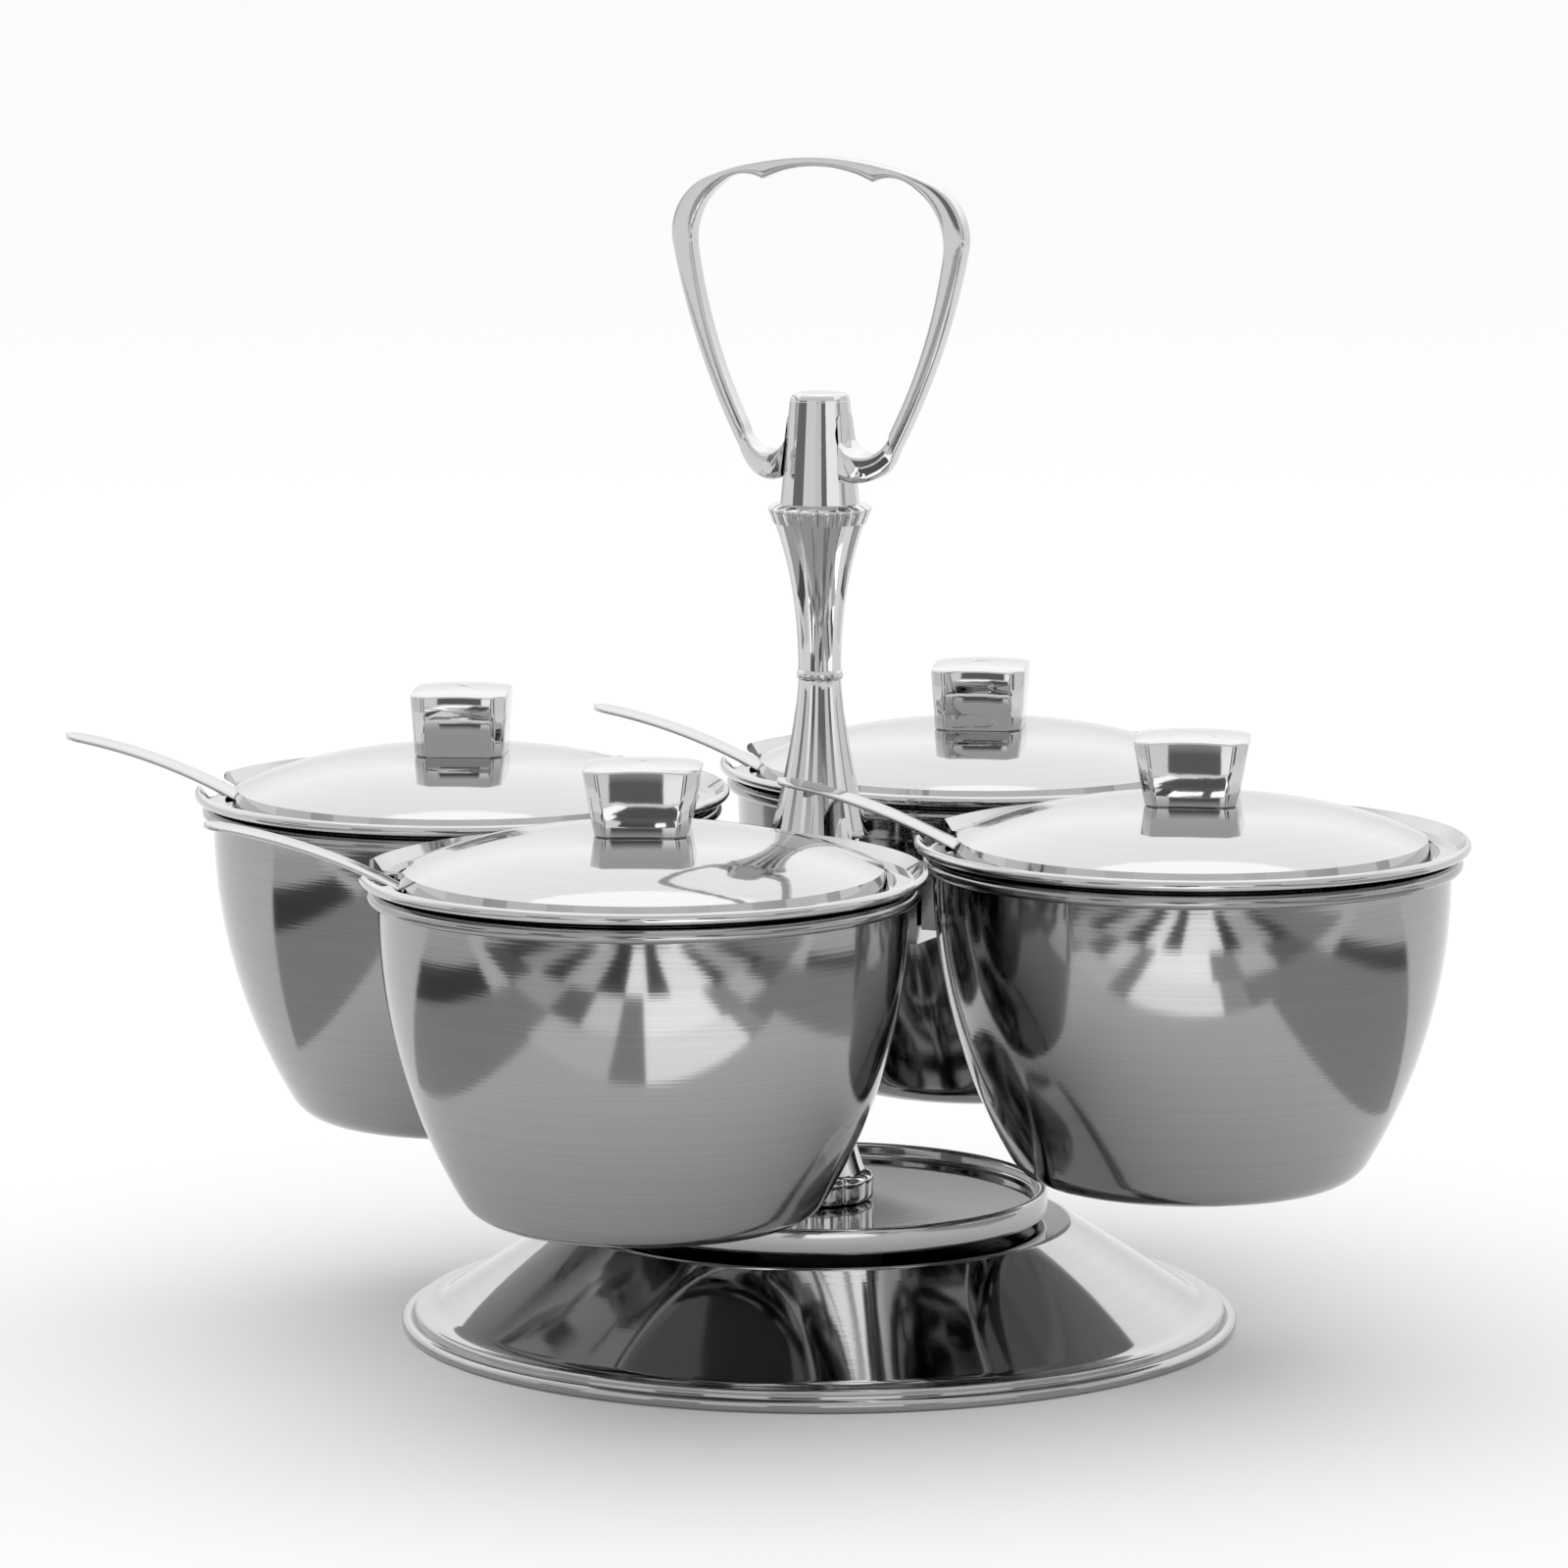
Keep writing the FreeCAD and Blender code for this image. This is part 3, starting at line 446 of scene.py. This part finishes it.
def build_handle():
    """Sections across the loop, between its outer and inner edges."""
    outer = loop_curve(LOOP_OUTER, 2 * LOOP_STEPS)
    inner = loop_curve(LOOP_INNER, LOOP_STEPS)
    pairs = list(zip(outer, inner))
    pairs = [((-o[0], o[1]), (-i[0], i[1])) for o, i in reversed(pairs[1:])] + pairs
    rings = []
    for (ox, oz), (ix, iz) in pairs:
        half = math.hypot(ox - ix, oz - iz) / 2
        ring = []
        depth = saddle_depth((ox + ix) / 2, (oz + iz) / 2)
        round_share = (depth - HANDLE_HALF_DEPTH) / (SADDLE_DEPTH - HANDLE_HALF_DEPTH)
        edge = min(HANDLE_EDGE + (SADDLE_EDGE - HANDLE_EDGE) * round_share, half / 2)
        for u, v in rounded_section(half, depth, edge):
            s = u / half
            x = (ox + ix) / 2 + s * (ox - ix) / 2
            z = (oz + iz) / 2 + s * (oz - iz) / 2
            ring.append((x, v * saddle_depth(x, z) / depth, z))
        rings.append(ring)
    return skin("handle_loop", rings, closed_ends=True, sharp=60)


def build_socket():
    outline = [(0.0, HANDLE_FOOT), (SOCKET_FOOT, HANDLE_FOOT), SOCKET_SIDE_TOP]
    outline += arc(*SOCKET_ROUND_CENTRE, SOCKET_ROUND, 0, 90, 8) + [(0.0, SOCKET_TOP)]
    shape = flutes(SOCKET_FLUTES, SOCKET_FLUTE_DEPTH)
    return lathe("socket", outline, shape, segments=SOCKET_SEGMENTS, sharp=26)


dress(build_handle(), chrome, "carousel", "chrome", "handle")
dress(build_socket(), chrome, "carousel", "chrome")


# One station's pieces, about the bowl's own axis, with the bowl's underside at zero

BOWL_FLOOR, BOWL_HEIGHT, BOWL_SHEET = 37.0, 66.5, 1.0
BOWL_FLAT, BOWL_CORNER, BOWL_WALL, BOWL_LEAN = 27.64, 10.0, 113.0, 30.64
BOWL_RIM, BEAD, LIP_ROUND, MOUTH = 54.4, 1.4, 1.0, 50.98
LID_SHEET, LID_SEAT_GAP, LID_STEP_RISE, LID_RISE = 0.9, 0.1, 2.4, 7.2
LID_VALLEY_DEPTH, LID_VALLEY_WIDTH, LID_STEP_RUN, LID_PAD = 1.4, 1.4, 1.0, 12.0
LID_REGISTER_GAP, LID_SEAT_WIDTH, LID_EDGE, LID_EDGE_LIFT, LID_BORE = 0.5, 2.2, 1.1, 2.2, 2.1
NOTCH_RADIUS, NOTCH_BOTTOM, NOTCH_TOP = 11.0, 50.0, 90.0
SEAT = BOWL_HEIGHT + LID_SEAT_GAP
CROWN = SEAT + LID_SHEET + LID_STEP_RISE + LID_RISE
KNOB_HEIGHT, KNOB_BASE, KNOB_DOME, KNOB_EDGE = 14.0, 18.6, 100.0, 0.6
KNOB_RIM_WIDTH, KNOB_RIM_DEPTH, KNOB_CHAMFER_SHARE = 23.0, 20.1, 0.12
KNOB_CAP_SHARES, KNOB_SIDE_SHARES = (0.8, 0.65, 0.5, 0.35, 0.2), (0.35, 0.5, 0.65)
SPOON_HALF_SHEET, SPOON_HALF_WIDTH, SPOON_GAP = 0.6, 4.0, 0.4
SPOON_ARCH, SPOON_KNEE = 118.0, 12.0
SPOON_TIP_ANGLE, SPOON_REST_ANGLE, SPOON_KNEE_ANGLE, SPOON_SHANK_ANGLE = 98.06, 116, 120, 145
SPOON_ARCH_STEPS, SPOON_KNEE_STEPS, SPOON_POINTS = 40, 12, 24
SPOON_SIDE_POWER, SPOON_FACE_POWER, SPOON_TIP_LEAST = 0.4, 0.7, 0.05
CUP_RADIUS, CUP_DEPTH, CUP_SHEET, CUP_OVERLAP = 13.0, 7.0, 1.2, 1.5


def bowl_arcs(offset):
    """Centre and radius of the corner's arc and of the wall's arc, at an offset into the sheet."""
    lean = math.radians(BOWL_LEAN)
    reach = BOWL_WALL - BOWL_CORNER
    corner = (BOWL_FLAT, BOWL_CORNER)
    wall = (corner[0] - reach * math.cos(lean), corner[1] + reach * math.sin(lean))
    return corner, BOWL_CORNER - offset, wall, BOWL_WALL - offset


def build_bowl(name):
    c1, corner, c2, wall = bowl_arcs(0.0)
    top = math.degrees(math.asin((BOWL_HEIGHT - 2 * BEAD - c2[1]) / wall))
    outline = [(0.0, 0.0)] + arc(*c1, corner, -90, -BOWL_LEAN, 16)
    outline += arc(*c2, wall, -BOWL_LEAN, top, 48)[1:]
    outline += arc(BOWL_RIM - BEAD, BOWL_HEIGHT - BEAD, BEAD, -90, 90, 16)
    c1, corner, c2, wall = bowl_arcs(BOWL_SHEET)
    lip = math.degrees(math.asin((BOWL_HEIGHT - LIP_ROUND - c2[1]) / wall))
    lip_r = c2[0] + wall * math.cos(math.radians(lip))
    outline += arc(lip_r + LIP_ROUND, BOWL_HEIGHT - LIP_ROUND, LIP_ROUND, 90, 180, 8)
    outline += arc(*c2, wall, lip, -BOWL_LEAN, 48)[1:] + arc(*c1, corner, -BOWL_LEAN, -90, 16)[1:]
    outline += [(0.0, BOWL_SHEET)]
    return lathe(name, outline, sharp=40)


def build_lid(name):
    valley = SEAT - LID_VALLEY_DEPTH
    register = MOUTH - LID_REGISTER_GAP
    valley_outer = register - LID_SHEET
    valley_inner = valley_outer - LID_VALLEY_WIDTH
    seat_outer = MOUTH + LID_SEAT_WIDTH
    run = valley_inner - LID_STEP_RUN - LID_PAD
    dome = (run ** 2 + LID_RISE ** 2) / (2 * LID_RISE)
    sweep = math.degrees(math.asin(run / dome))
    under = math.degrees(math.asin((run - LID_SHEET) / (dome - LID_SHEET)))
    outline = [(LID_BORE, CROWN)] + arc(LID_PAD, CROWN - dome, dome, 90, 90 - sweep, 24)
    outline += [(valley_inner, valley + LID_SHEET), (valley_outer, valley + LID_SHEET)]
    outline += [(valley_outer, SEAT + LID_SHEET), (seat_outer, SEAT + LID_SHEET)]
    outline += arc(RIM - LID_EDGE, BOWL_HEIGHT + LID_EDGE_LIFT, LID_EDGE, 90, -90, 14)
    outline += [(seat_outer, SEAT), (register, SEAT), (register, valley), (valley_inner - LID_SHEET, valley)]
    outline += arc(LID_PAD, CROWN - dome, dome - LID_SHEET, 90 - under, 90, 24)
    outline += [(LID_BORE, CROWN - LID_SHEET)]
    lid = lathe(name, outline, sharp=30)
    notch = [(0.0, NOTCH_BOTTOM), (NOTCH_RADIUS, NOTCH_BOTTOM), (NOTCH_RADIUS, NOTCH_TOP), (0.0, NOTCH_TOP)]
    cutter = lathe("notch_cutter", notch, segments=COARSE_SEGMENTS)
    cutter.location = (RIM * MM, 0, 0)
    cut_away(lid, cutter, 30)
    return lid


def build_knob(name):
    """Block with cut corners, soft edges and a square foot, wider at the top, with a low dome."""
    top = CROWN + KNOB_HEIGHT

    def corners(width, depth):
        cut = width * KNOB_CHAMFER_SHARE
        hx, hy = width / 2, depth / 2
        cx, cy = hx - cut, hy - cut
        return [(hx, -cy), (hx, cy), (cx, hy), (-cx, hy), (-hx, cy), (-hx, -cy), (-cx, -hy), (cx, -hy)]

    def along(width, depth, level):
        """Ring round the block: each side in steps, with its ends eased round the corners."""
        ring = []
        points = corners(width, depth)
        for i, (x, y) in enumerate(points):
            px, py = points[i - 1]
            nx, ny = points[(i + 1) % len(points)]
            back = KNOB_EDGE / math.hypot(px - x, py - y)
            ahead = KNOB_EDGE / math.hypot(nx - x, ny - y)
            before = (x + (px - x) * back, y + (py - y) * back)
            after = (x + (nx - x) * ahead, y + (ny - y) * ahead)
            ring.append(before)
            ring.append(((before[0] + after[0] + 2 * x) / 4, (before[1] + after[1] + 2 * y) / 4))
            ring.append(after)
            ring += [(x + (nx - x) * s, y + (ny - y) * s) for s in KNOB_SIDE_SHARES]
        return [(x, y, level(x, y)) for x, y in ring]

    def cap(x, y):
        return top - KNOB_DOME + math.sqrt(KNOB_DOME ** 2 - x * x - y * y)

    edge = KNOB_EDGE
    width, depth = KNOB_RIM_WIDTH, KNOB_RIM_DEPTH
    rings = [along(KNOB_BASE - edge, KNOB_BASE - edge, lambda x, y: CROWN)]
    rings.append(along(KNOB_BASE, KNOB_BASE, lambda x, y: CROWN + edge / 2))
    rings.append(along(width, depth, lambda x, y: cap(x, y) - edge))
    rings.append(along(width - 0.6 * edge, depth - 0.6 * edge, lambda x, y: cap(x, y) - 0.3 * edge))
    rings.append(along(width - 2 * edge, depth - 2 * edge, cap))
    for share in KNOB_CAP_SHARES:
        rings.append(along(width * share, depth * share, cap))
    return skin(name, rings, closed_ends=True, sharp=35)


def turned(point, radius, degrees):
    a = math.radians(degrees)
    return point[0] + radius * math.cos(a), point[1] + radius * math.sin(a)


def spoon_path(cup_top):
    """Points and normals, in degrees, of the arched strip, the knee and the straight shank."""
    lip = (MOUTH + LIP_ROUND, BOWL_HEIGHT - LIP_ROUND)
    rest = turned(lip, LIP_ROUND + SPOON_GAP + SPOON_HALF_SHEET, SPOON_REST_ANGLE)
    arch = turned(rest, SPOON_ARCH, SPOON_REST_ANGLE - 180)
    knee = turned(turned(arch, SPOON_ARCH, SPOON_KNEE_ANGLE), SPOON_KNEE, SPOON_KNEE_ANGLE - 180)
    path = []
    for i in range(SPOON_ARCH_STEPS + 1):
        a = SPOON_TIP_ANGLE + (SPOON_KNEE_ANGLE - SPOON_TIP_ANGLE) * i / SPOON_ARCH_STEPS
        path.append((turned(arch, SPOON_ARCH, a), a))
    for i in range(1, SPOON_KNEE_STEPS + 1):
        a = SPOON_KNEE_ANGLE + (SPOON_SHANK_ANGLE - SPOON_KNEE_ANGLE) * i / SPOON_KNEE_STEPS
        path.append((turned(knee, SPOON_KNEE, a), a))
    x, z = path[-1][0]
    end = (x - (z - cup_top) / math.tan(math.radians(SPOON_SHANK_ANGLE - 90)), cup_top)
    for s in (0.25, 0.5, 0.75, 1.0):
        path.append(((x + (end[0] - x) * s, z + (end[1] - z) * s), SPOON_SHANK_ANGLE))
    return path


def build_spoon(name):
    """Bent strip with a round tip, and a round cup."""
    cup_bottom = BOWL_SHEET + SPOON_GAP
    path = spoon_path(cup_bottom + CUP_DEPTH)
    tip = path[0][0][0]
    rings = []
    for (px, pz), normal in path:
        into = tip - px
        w = SPOON_HALF_WIDTH
        if into < w:
            w = math.sqrt(max(w ** 2 - max(w - into, 0.0) ** 2, SPOON_TIP_LEAST))
        n = math.radians(normal)
        ring = []
        for k in range(SPOON_POINTS):
            a = 2 * math.pi * k / SPOON_POINTS
            c, s = math.cos(a), math.sin(a)
            u = math.copysign(abs(c) ** SPOON_SIDE_POWER, c) * w
            v = math.copysign(abs(s) ** SPOON_FACE_POWER, s) * SPOON_HALF_SHEET
            ring.append((px + v * math.cos(n), u, pz + v * math.sin(n)))
        rings.append(ring)
    strip = skin(name, rings, closed_ends=True, sharp=50)
    ball = (CUP_RADIUS ** 2 + CUP_DEPTH ** 2) / (2 * CUP_DEPTH)
    edge = math.degrees(math.asin((CUP_DEPTH - ball) / ball))
    inner = math.degrees(math.asin((CUP_DEPTH - ball) / (ball - CUP_SHEET)))
    outline = arc(0.0, cup_bottom + ball, ball, -90, edge, 20)
    outline += arc(0.0, cup_bottom + ball, ball - CUP_SHEET, inner, -90, 20)
    cup = lathe(name + "_cup", outline, segments=COARSE_SEGMENTS)
    cup.location = ((path[-1][0][0] - CUP_RADIUS + CUP_OVERLAP) * MM, 0, 0)
    return strip, cup


def place(obj, bearing, turn):
    """Turn a piece's mesh and origin about the bowl's axis, then move it to its station."""
    rotation = Matrix.Rotation(math.radians(turn), 4, "Z")
    a = math.radians(bearing)
    shift = Vector((CIRCLE * math.cos(a) * MM, CIRCLE * math.sin(a) * MM, BOWL_FLOOR * MM))
    obj.data.transform(rotation)
    obj.location = shift + rotation @ obj.location


for station, (bearing, spoon_bearing, knob_turn) in STATIONS.items():
    bowl = build_bowl("spun_bowl_" + station)
    place(bowl, bearing, 0)
    dress(bowl, spun_shaded, station + "_bowl", "stainless", "bowl_" + station)
    lid = build_lid("cover_" + station)
    place(lid, bearing, spoon_bearing)
    dress(lid, lid_steel, station + "_lid", "stainless", "lid_" + station)
    knob = build_knob("grip_" + station)
    place(knob, bearing, spoon_bearing + knob_turn)
    dress(knob, chrome, station + "_lid", "chrome", "knob_" + station)
    strip, cup = build_spoon("ladle_" + station)
    for piece in (strip, cup):
        place(piece, bearing, spoon_bearing)
    dress(strip, sheet_steel, station + "_spoon", "stainless", "spoon_" + station)
    dress(cup, sheet_steel, station + "_spoon", "stainless")

# Pieces kept as the CAD made them
KEPT = {"pivot_bush": nylon, "tie_rod": plain_steel, "rod_washer": plain_steel, "lock_nut": plain_steel,
        "carrier": chrome}
for station in STATIONS:
    KEPT["hanger_" + station] = sheet_steel
    KEPT["knob_screw_" + station] = plain_steel
for node, material in KEPT.items():
    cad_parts[node].data.materials.clear()
    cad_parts[node].data.materials.append(material)


# Stage: pale floor, studio light, out-of-view cards, camera

FLOOR_COLOUR, STAGE_ROUGHNESS = (0.93, 0.93, 0.93), 0.9
FLOOR_CENTRE, FLOOR_SIZE = (0, 2.0, 0), (12, 12)
THETA = math.radians(25.02)
AWAY = Vector((-math.sin(THETA), math.cos(THETA), 0))
SIDE = Vector((math.cos(THETA), math.sin(THETA), 0))
UP = Vector((0, 0, 1))
LAMP_PLACE, LAMP_TARGET, LAMP_SIZE, LAMP_POWER = AWAY * 0.3 + UP * 1.6, UP * 0.1, 1.6, 3
LENS, SENSOR, CAMERA_DOWN_DEGREES = 182.9, 36.0, 8.433
CAMERA_PLACE = (0.6765, -1.4667, 0.3519)

# Studio walls round the object: a bearing share, from the back by the left, front and right, and a brightness
WALL_BARS = ((0.0, 1.0), (0.2, 0.8), (0.27, 0.25), (0.31, 0.95), (0.37, 0.2), (0.41, 0.95), (0.46, 0.15),
             (0.5, 1.3), (0.56, 0.2), (0.59, 0.85), (0.65, 0.2), (0.7, 0.9), (0.77, 0.5), (0.8, 1.0))
WALL_TOP = 1.5

# Ceiling: the heights where it starts and is full, its brightness in front and at the back, and how far back
# it is at its brightest
CEILING_START, CEILING_FULL = 0.12, 0.35
CEILING_FRONT, CEILING_BACK, CEILING_BACK_FULL = 0.85, 1.4, 0.4

# Reflection cards on the floor, outside the photograph's frame. Only reflections show them, so the floor
# stays plain in every view. Each row: nearest and furthest distance in front of the column, the left end,
# then the right end and the brightness of each card.
CARD_ROWS = (
    (0.215, 0.28, -0.32, ((-0.19, 0.5), (-0.07, 1.1), (-0.03, 0.5), (0.11, 1.9), (0.15, 0.7), (0.36, 0.5))),
    (0.28, 0.38, -0.60, ((-0.33, 0.2), (-0.2, 0.8), (-0.13, 0.3), (-0.07, 1.4), (-0.03, 0.5), (0.1, 2.2),
                         (0.16, 0.6), (0.24, 1.1), (0.36, 0.3), (0.60, 0.5))),
    (0.38, 0.75, -0.60, ((-0.42, 0.12), (-0.31, 0.7), (-0.23, 0.1), (-0.14, 1.0), (-0.07, 0.1), (-0.02, 2.0),
                         (0.03, 0.15), (0.14, 2.0), (0.19, 0.1), (0.29, 0.9), (0.36, 0.1), (0.60, 0.5))),
    (-0.05, 0.215, -0.70, ((-0.45, 0.8), (-0.32, 0.1), (-0.18, 0.5))),
    (-0.05, 0.215, 0.18, ((0.36, 0.5), (0.44, 0.15), (0.70, 0.9))),
    (0.75, 0.84, -1.60, ((-0.8, 1.0), (-0.45, 0.2), (-0.2, 1.6), (0.12, 0.15), (0.5, 1.7), (1.6, 0.15))),
    (0.84, 0.95, -1.60, ((-1.06, 0.75), (-0.8, 0.1), (-0.45, 0.3), (-0.2, 1.6), (0.12, 0.15), (0.5, 1.7),
                         (1.6, 0.15))),
    (0.95, 2.40, -1.60, ((-1.0, 0.5), (-0.5, 0.8), (-0.25, 1.6), (0.15, 0.12), (0.45, 1.6), (1.6, 0.12))),
)
CARD_LIFT = 0.002


def stage_material(name, colour):
    material, _, shader = new_material(name)
    shader.inputs["Base Color"].default_value = (*colour, 1)
    shader.inputs["Roughness"].default_value = STAGE_ROUGHNESS
    shader.inputs["Specular IOR Level"].default_value = 0.0
    return material, shader


def panel(name, centre, size, turn, material):
    """Level stage card, facing up and turned about Z."""
    mesh = bpy.data.meshes.new(name)
    w, h = size[0] / 2, size[1] / 2
    mesh.from_pydata([(-w, -h, 0), (w, -h, 0), (w, h, 0), (-w, h, 0)], [], [(0, 1, 2, 3)])
    mesh.materials.append(material)
    card = bpy.data.objects.new(name, mesh)
    bpy.context.scene.collection.objects.link(card)
    card.location = centre
    card.rotation_euler = (0, 0, turn)
    return card


def reflection_card(name, near, far, left, right, level):
    glow, shader = stage_material(name + "_glow", (0, 0, 0))
    shader.inputs["Emission Color"].default_value = (1, 1, 1, 1)
    shader.inputs["Emission Strength"].default_value = level
    middle = SIDE * (left + right) / 2 - AWAY * (near + far) / 2 + UP * CARD_LIFT
    card = panel(name, middle, (right - left, far - near), THETA, glow)
    card.visible_camera = False
    card.visible_diffuse = False
    card.visible_shadow = False


def build_lamp():
    light = bpy.data.lights.new("top_box", "AREA")
    light.shape = "RECTANGLE"
    light.size = light.size_y = LAMP_SIZE
    light.energy = LAMP_POWER
    lamp = bpy.data.objects.new("top_box", light)
    bpy.context.scene.collection.objects.link(lamp)
    lamp.location = LAMP_PLACE
    lamp.rotation_mode = "QUATERNION"
    lamp.rotation_quaternion = (LAMP_TARGET - LAMP_PLACE).to_track_quat("-Z", "Y")


def map_range(tree, value, from_min, from_max, to_min=0.0, to_max=1.0):
    node = tree.nodes.new("ShaderNodeMapRange")
    node.inputs["From Min"].default_value = from_min
    node.inputs["From Max"].default_value = from_max
    node.inputs["To Min"].default_value = to_min
    node.inputs["To Max"].default_value = to_max
    tree.links.new(value, node.inputs["Value"])
    return node.outputs["Result"]


def wall_ramp(tree, share):
    """Upright bars of even brightness, by their share of the way round."""
    walls = tree.nodes.new("ShaderNodeValToRGB")
    walls.color_ramp.interpolation = "CONSTANT"
    stops = walls.color_ramp.elements
    stops.remove(stops[1])
    for index, (bar_share, level) in enumerate(WALL_BARS):
        stop = stops[0] if index == 0 else stops.new(bar_share)
        stop.color = (*[level / WALL_TOP] * 3, 1)
    tree.links.new(share, walls.inputs["Fac"])
    return walls.outputs["Color"]


def build_world():
    """Studio with bright and dark upright bars on its walls and a ceiling brighter at the back."""
    world = bpy.data.worlds.new("studio")
    bpy.context.scene.world = world
    world.use_nodes = True
    tree = world.node_tree
    nodes, links = tree.nodes, tree.links
    background = nodes["Background"]
    background.inputs["Strength"].default_value = WALL_TOP
    coord = nodes.new("ShaderNodeTexCoord")
    turn = nodes.new("ShaderNodeMapping")
    turn.inputs["Rotation"].default_value = (0, 0, -THETA)
    links.new(coord.outputs["Generated"], turn.inputs["Vector"])
    split = nodes.new("ShaderNodeSeparateXYZ")
    links.new(turn.outputs["Vector"], split.inputs["Vector"])
    front = nodes.new("ShaderNodeMath")
    front.operation = "MULTIPLY"
    front.inputs[1].default_value = -1.0
    links.new(split.outputs["Y"], front.inputs[0])
    bearing = nodes.new("ShaderNodeMath")
    bearing.operation = "ARCTAN2"
    links.new(split.outputs["X"], bearing.inputs[0])
    links.new(front.outputs["Value"], bearing.inputs[1])
    room = nodes.new("ShaderNodeMix")
    room.data_type = "RGBA"
    walls = wall_ramp(tree, map_range(tree, bearing.outputs["Value"], -math.pi, math.pi))
    ceiling = map_range(tree, split.outputs["Y"], 0.0, CEILING_BACK_FULL,
                        CEILING_FRONT / WALL_TOP, CEILING_BACK / WALL_TOP)
    links.new(walls, room.inputs["A"])
    links.new(ceiling, room.inputs["B"])
    links.new(map_range(tree, split.outputs["Z"], CEILING_START, CEILING_FULL), room.inputs["Factor"])
    links.new(room.outputs["Result"], background.inputs["Color"])


def build_camera():
    camera = bpy.data.cameras.new("camera")
    camera.lens = LENS
    camera.sensor_width = SENSOR
    camera.dof.use_dof = False
    camera_object = bpy.data.objects.new("camera", camera)
    bpy.context.scene.collection.objects.link(camera_object)
    camera_object.location = CAMERA_PLACE
    camera_object.rotation_euler = (math.radians(90 - CAMERA_DOWN_DEGREES), 0, THETA)
    bpy.context.scene.camera = camera_object


floor_paint, _ = stage_material("floor_paint", FLOOR_COLOUR)
panel("floor", FLOOR_CENTRE, FLOOR_SIZE, 0, floor_paint)
for row, (near, far, left, cards) in enumerate(CARD_ROWS):
    for column, (right, level) in enumerate(cards):
        reflection_card("card_%d_%d" % (row, column), near, far, left, right, level)
        left = right
build_world()
build_lamp()
build_camera()
bpy.context.scene.view_settings.view_transform = "Standard"
